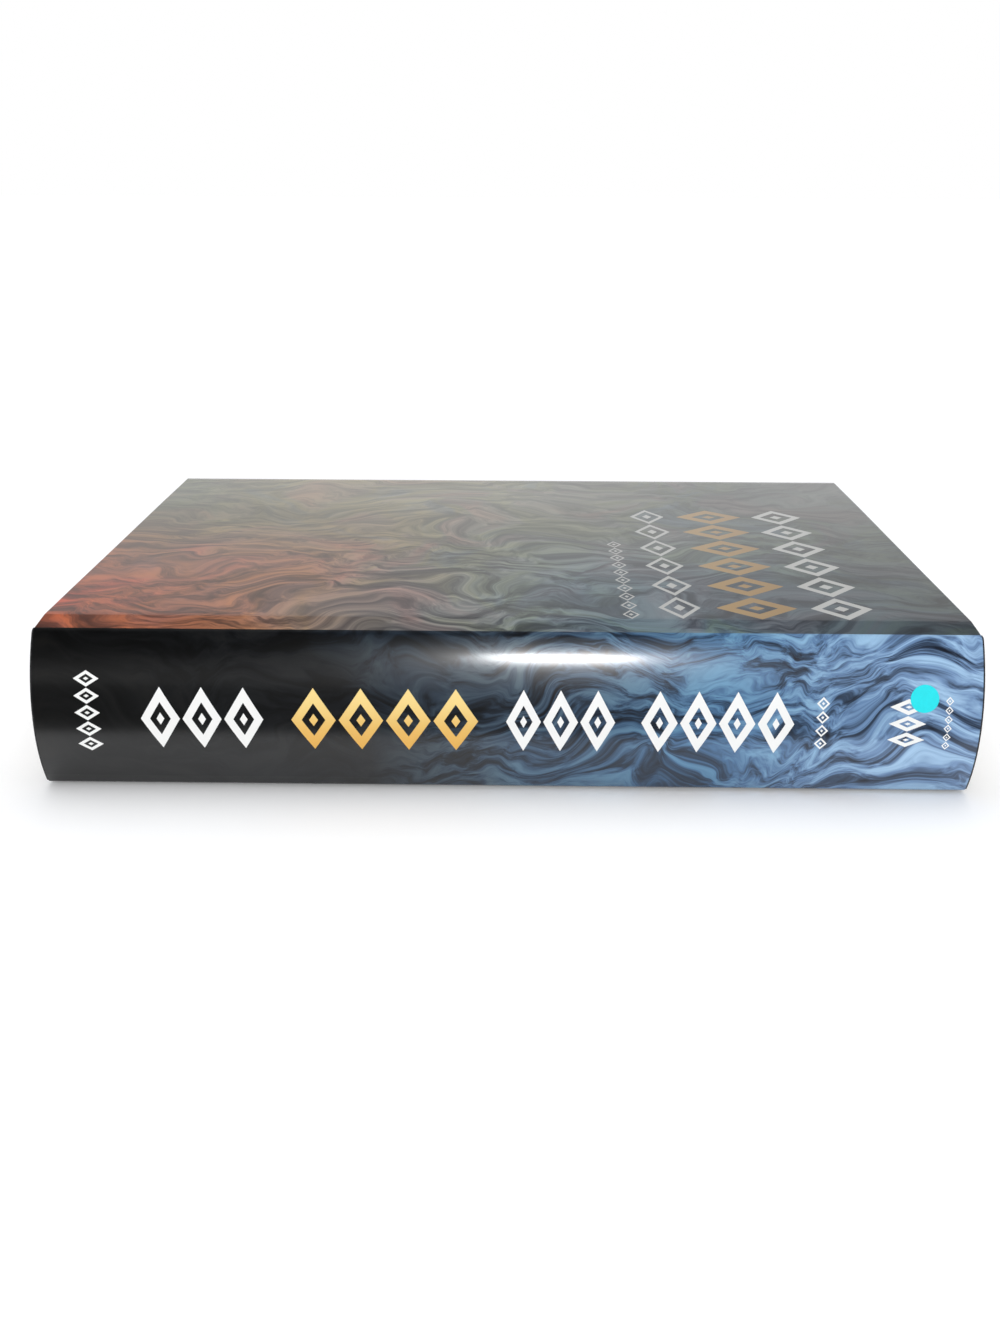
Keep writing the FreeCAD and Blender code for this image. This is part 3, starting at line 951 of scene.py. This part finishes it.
def thread_material(name, colour):
    """Twisted silky thread."""
    material, tree = new_material(name)
    place = object_place(tree)
    twist = noise_node(tree, place, 2500, 2.0)
    shade = ramp(tree, twist, [(0.3, (0.75, 0.75, 0.75)), (0.7, (1.0, 1.0, 1.0))])
    finish_material(
        tree, Base_Color=mix(tree, 1.0, colour, shade, "MULTIPLY"), Roughness=0.5, Sheen_Weight=0.3,
        Normal=bump(tree, twist, 0.05 * MM, 0.6),
    )
    return material


headband_piece("headband", -1)
headband_piece("tailband", 1)


# Nodes that keep their CAD form


def cloth_material():
    """Black book cloth: a fine plain weave with sized, slightly shiny threads."""
    material, tree = new_material("case_cloth")
    place = object_place(tree)
    waves = {"Vector": place, "Scale": 420.0, "Distortion": 1.2}
    along, across, upright = [
        add(tree, "ShaderNodeTexWave", waves, bands_direction=axis).outputs["Fac"] for axis in "XYZ"
    ]
    weave = math_node(tree, "MULTIPLY", math_node(tree, "ADD", across, upright), 0.5)
    weave = math_node(tree, "MULTIPLY", weave, along)
    slub = noise_node(tree, place, 180, 4.0)
    tone = ramp(tree, weave, [(0.0, (0.006, 0.006, 0.007)), (1.0, (0.035, 0.035, 0.04))])
    tone = mix(tree, math_node(tree, "MULTIPLY", slub, 0.4), tone, (0.02, 0.02, 0.024))
    finish_material(
        tree, Base_Color=tone, Roughness=0.62, Sheen_Weight=0.15,
        Normal=bump(tree, weave, 0.08 * MM, 0.7),
    )
    return material


def dressed(nodes, material):
    """CAD nodes with a material in every slot."""
    for name in nodes:
        node = frame["nodes"][name]
        if not node.data.materials:
            node.data.materials.append(material)
        for i in range(len(node.data.materials)):
            node.data.materials[i] = material


cloth = cloth_material()
dressed(["case_cloth_front", "case_cloth_spine", "case_cloth_back"], cloth)
endpaper = paper_material("endpaper", (0.84, 0.82, 0.76), 1200, (0.8, 0.77, 0.7))
dressed(["front_pastedown", "front_flyleaf", "back_pastedown", "back_flyleaf"], endpaper)

# Other papers: nodes, name, colour, fineness of the fibres, second tone, roughness
papers = [
    (
        ("front_board", "back_board", "spine_inlay"), "greyboard", (0.34, 0.32, 0.29), 700,
        (0.26, 0.24, 0.22), 0.85,
    ),
    (("mull",), "mull_gauze", (0.72, 0.7, 0.64), 500, (0.6, 0.58, 0.5), 0.85),
    (("spine_liner",), "kraft_liner", (0.5, 0.36, 0.22), 800, (0.42, 0.29, 0.17), 0.85),
    (("headband", "tailband"), "band", (0.82, 0.82, 0.8), 2000, (0.7, 0.7, 0.7), 0.85),
    (("dot_sticker",), "sticker", (0.01, 0.76, 0.82), 900, (0.01, 0.8, 0.87), 0.35),
]
for nodes, *finish in papers:
    dressed(nodes, paper_material(*finish))


# Folds of the cloth and of the endpapers, between the spine and each cover

fold_gap = 0.3 * MM
tuck = 0.35 * MM  # how far a fold's edges run on inside the sheets that it joins
fold_cloth_thickness = 0.2 * MM
fold_column_step = 8 * MM
leaf_face_level = 0.05 * MM  # start of an endpaper's fold, out from the leaves
paper_tuck = 0.12 * MM  # from the fold of the cloth to the ends of the endpaper's fold
paper_turn = (0.14 * MM, 0.1 * MM)  # from the two ends of the endpaper's fold to where it turns
tuck_rows, gap_rows, paper_rows = 4, 16, 28  # rows of faces


def fold_piece(name, samples, thickness, half_length, body, turning, material):
    """A narrow sheet over the fold of a cover, mirrored to the lower side for the back cover. The two
    places (y, z) in turning are not used.
    """
    start, end = turning
    if body == "back_cover":
        samples = [(y, 2 * middle - z, ny, -nz) for y, z, ny, nz in samples[::-1]]
        start, end = flipped(start), flipped(end)
    columns = spread(-half_length, half_length, fold_column_step)
    piece = sheet_object(name, samples, [0.0] * len(samples), thickness, columns, lambda x, mark: 0.0)
    for _ in range(2):
        piece.data.materials.append(material)
    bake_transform(piece)


def cloth_fold(body):
    """The case's cloth where it turns at the shoulder."""
    radius = cover_crest_radius + (cloth_thickness - fold_cloth_thickness) / 2
    edge = fold_gap / 2
    places = spread(-edge - tuck, -edge, tuck / tuck_rows)[:-1]
    places += spread(-edge, edge, fold_gap / gap_rows)
    places += spread(edge, edge + tuck, tuck / tuck_rows)[1:]
    samples = []
    for place in places:
        sine = (fold_y + place - crest_centre[0]) / radius
        cosine = math.sqrt(1 - sine**2)
        samples.append((fold_y + place, crest_centre[1] + radius * cosine, sine, cosine))
    turning = (fold_y - edge, fold_z), (fold_y + edge, fold_z)
    name = "case_cloth_fold_" + body.split("_")[0]
    fold_piece(name, samples, fold_cloth_thickness, half_case, body, turning, cloth)


def endpaper_fold(body):
    """The endpaper between the free leaf, which ends on the crest, and the paste-down over it."""
    ways = directions(outline)
    reach = shoulder_crest_radius * math.tan(abs(turn(ways[3], ways[4])) / 2)
    bend = (
        outline[4][0] + ways[4][0] * reach + ways[4][1] * shoulder_crest_radius,
        outline[4][1] + ways[4][1] * reach - ways[4][0] * shoulder_crest_radius,
    )

    def on_layer(level, y):
        """Place on the bend at the crest, this far out from the leaves."""
        radius = shoulder_crest_radius + level
        return (y, bend[1] + math.sqrt(radius**2 - (y - bend[0]) ** 2))

    low = on_layer(leaf_face_level, fold_y + paper_tuck)
    high = on_layer(pastedown_level + endpaper_thickness / 2, fold_y + fold_gap / 2 + paper_tuck)
    length = math.dist(low, high)
    way = ((high[0] - low[0]) / length, (high[1] - low[1]) / length)
    side = (-way[1], way[0])
    inset = endpaper_thickness / 2
    samples = [
        (low[0] + way[0] * s - side[0] * inset, low[1] + way[1] * s - side[1] * inset, *side)
        for s in spread(0.0, length, length / paper_rows)
    ]
    turned = (paper_turn[0], length - paper_turn[1])
    turning = [(low[0] + way[0] * s, low[1] + way[1] * s) for s in turned]
    name = "endpaper_fold_" + body.split("_")[0]
    fold_piece(name, samples, endpaper_thickness, half_trim, body, turning, endpaper)


for cover in ("front_cover", "back_cover"):
    cloth_fold(cover)
    endpaper_fold(cover)


# Light and ground


room_light = (0.62, 0.63, 0.65)
dark_above = (0.13, 0.4)  # heights of a ray between which its reflection of the room darkens
dark_behind = (0.25, -0.35)  # the same for its direction along Y, toward the camera's side
ceiling_tone, back_tone = 0.1, 0.3

floor_size = 6.0
floor_tone = 0.92
strip_tone = (0.08, 0.75)  # what gloss shows of the floor, away from the book and beside it
strip = (31 * MM, 17 * MM)  # distances from the spine between which that changes
glow = (0.12, 0.55)  # lift of the floor to white for the camera, near the book and far off
glow_reach = (0.3, 1.0)

# Lamps: name, place, target, size, power, seen in gloss, lighting of matt surfaces
lamps = [
    ("overhead", (0.0, 0.1, 1.2), (0, 0, 0), (1.2, 1.2), 6.0, False, True),
    ("front", (0.0, -1.0, 0.45), (0, 0, 0.02), (0.8, 0.5), 4.0, False, True),
    ("flash", (0.027, -0.40, 0.150), (0.027, -0.30, 0.0567), (0.072, 0.060), 0.30, True, False),
]
flash_spread = math.radians(52)


def make_world():
    """White to the camera, an even grey light, and in gloss a room that darkens above and behind."""
    world = bpy.data.worlds.new("studio")
    bpy.context.scene.world = world
    world.use_nodes = True
    tree = world.node_tree
    tree.nodes.clear()
    ray = add(tree, "ShaderNodeLightPath").outputs
    way = add(tree, "ShaderNodeTexCoord").outputs["Generated"]
    split = add(tree, "ShaderNodeSeparateXYZ", {0: way}).outputs
    above = map_range(tree, split[2], *dark_above, 1.0, ceiling_tone)
    behind = map_range(tree, split[1], dark_behind[1], dark_behind[0], back_tone, 1.0)
    seen = math_node(tree, "MULTIPLY", above, behind)
    glossy = add(tree, "ShaderNodeCombineColor", {0: seen, 1: seen, 2: seen}).outputs[0]
    colour = mix(tree, ray["Is Glossy Ray"], room_light, glossy)
    colour = mix(tree, ray["Is Camera Ray"], colour, (1.0, 1.0, 1.0))
    ground = add(tree, "ShaderNodeBackground", {"Color": colour, "Strength": 1.0})
    output = tree.nodes.new("ShaderNodeOutputWorld")
    tree.links.new(ground.outputs[0], output.inputs[0])


def make_floor():
    """A pale floor that takes the book's shadow."""
    size = floor_size
    corners = [(-size, -size, 0), (size, -size, 0), (size, size, 0), (-size, size, 0)]
    piece = make_object("floor", corners, [(0, 1, 2, 3)])
    material, tree = new_material("floor")
    ray = add(tree, "ShaderNodeLightPath").outputs
    place = object_place(tree)
    split = add(tree, "ShaderNodeSeparateXYZ", {0: place}).outputs
    reflected = map_range(tree, split[1], cad_low.y - strip[0], cad_low.y - strip[1], *strip_tone)
    change = math_node(tree, "SUBTRACT", reflected, floor_tone)
    tone = math_node(tree, "MULTIPLY_ADD", change, ray["Is Glossy Ray"], floor_tone)
    colour = add(tree, "ShaderNodeCombineColor", {0: tone, 1: tone, 2: tone}).outputs[0]
    distance = add(tree, "ShaderNodeVectorMath", {0: place}, operation="LENGTH").outputs["Value"]
    lift = map_range(tree, distance, *glow_reach, *glow)
    finish_material(
        tree, Base_Color=colour, Roughness=0.9, Specular_IOR_Level=0.0, Emission_Color=(1, 1, 1, 1),
        Emission_Strength=math_node(tree, "MULTIPLY", ray["Is Camera Ray"], lift),
    )
    piece.data.materials.append(material)


def area_light(name, place, target, size, power, in_gloss, on_matt):
    """A rectangular lamp at a place, facing a target."""
    data = bpy.data.lights.new(name, "AREA")
    data.shape = "RECTANGLE"
    data.size, data.size_y = size
    data.energy = power
    light = bpy.data.objects.new(name, data)
    light.location = place
    way = Vector(target) - Vector(place)
    light.rotation_euler = way.to_track_quat("-Z", "Y").to_euler()
    light.visible_glossy, light.visible_diffuse = in_gloss, on_matt
    bpy.context.scene.collection.objects.link(light)
    return light


make_world()
make_floor()
made = {row[0]: area_light(*row) for row in lamps}
made["flash"].data.spread = flash_spread

bpy.context.scene.view_settings.view_transform = "Standard"
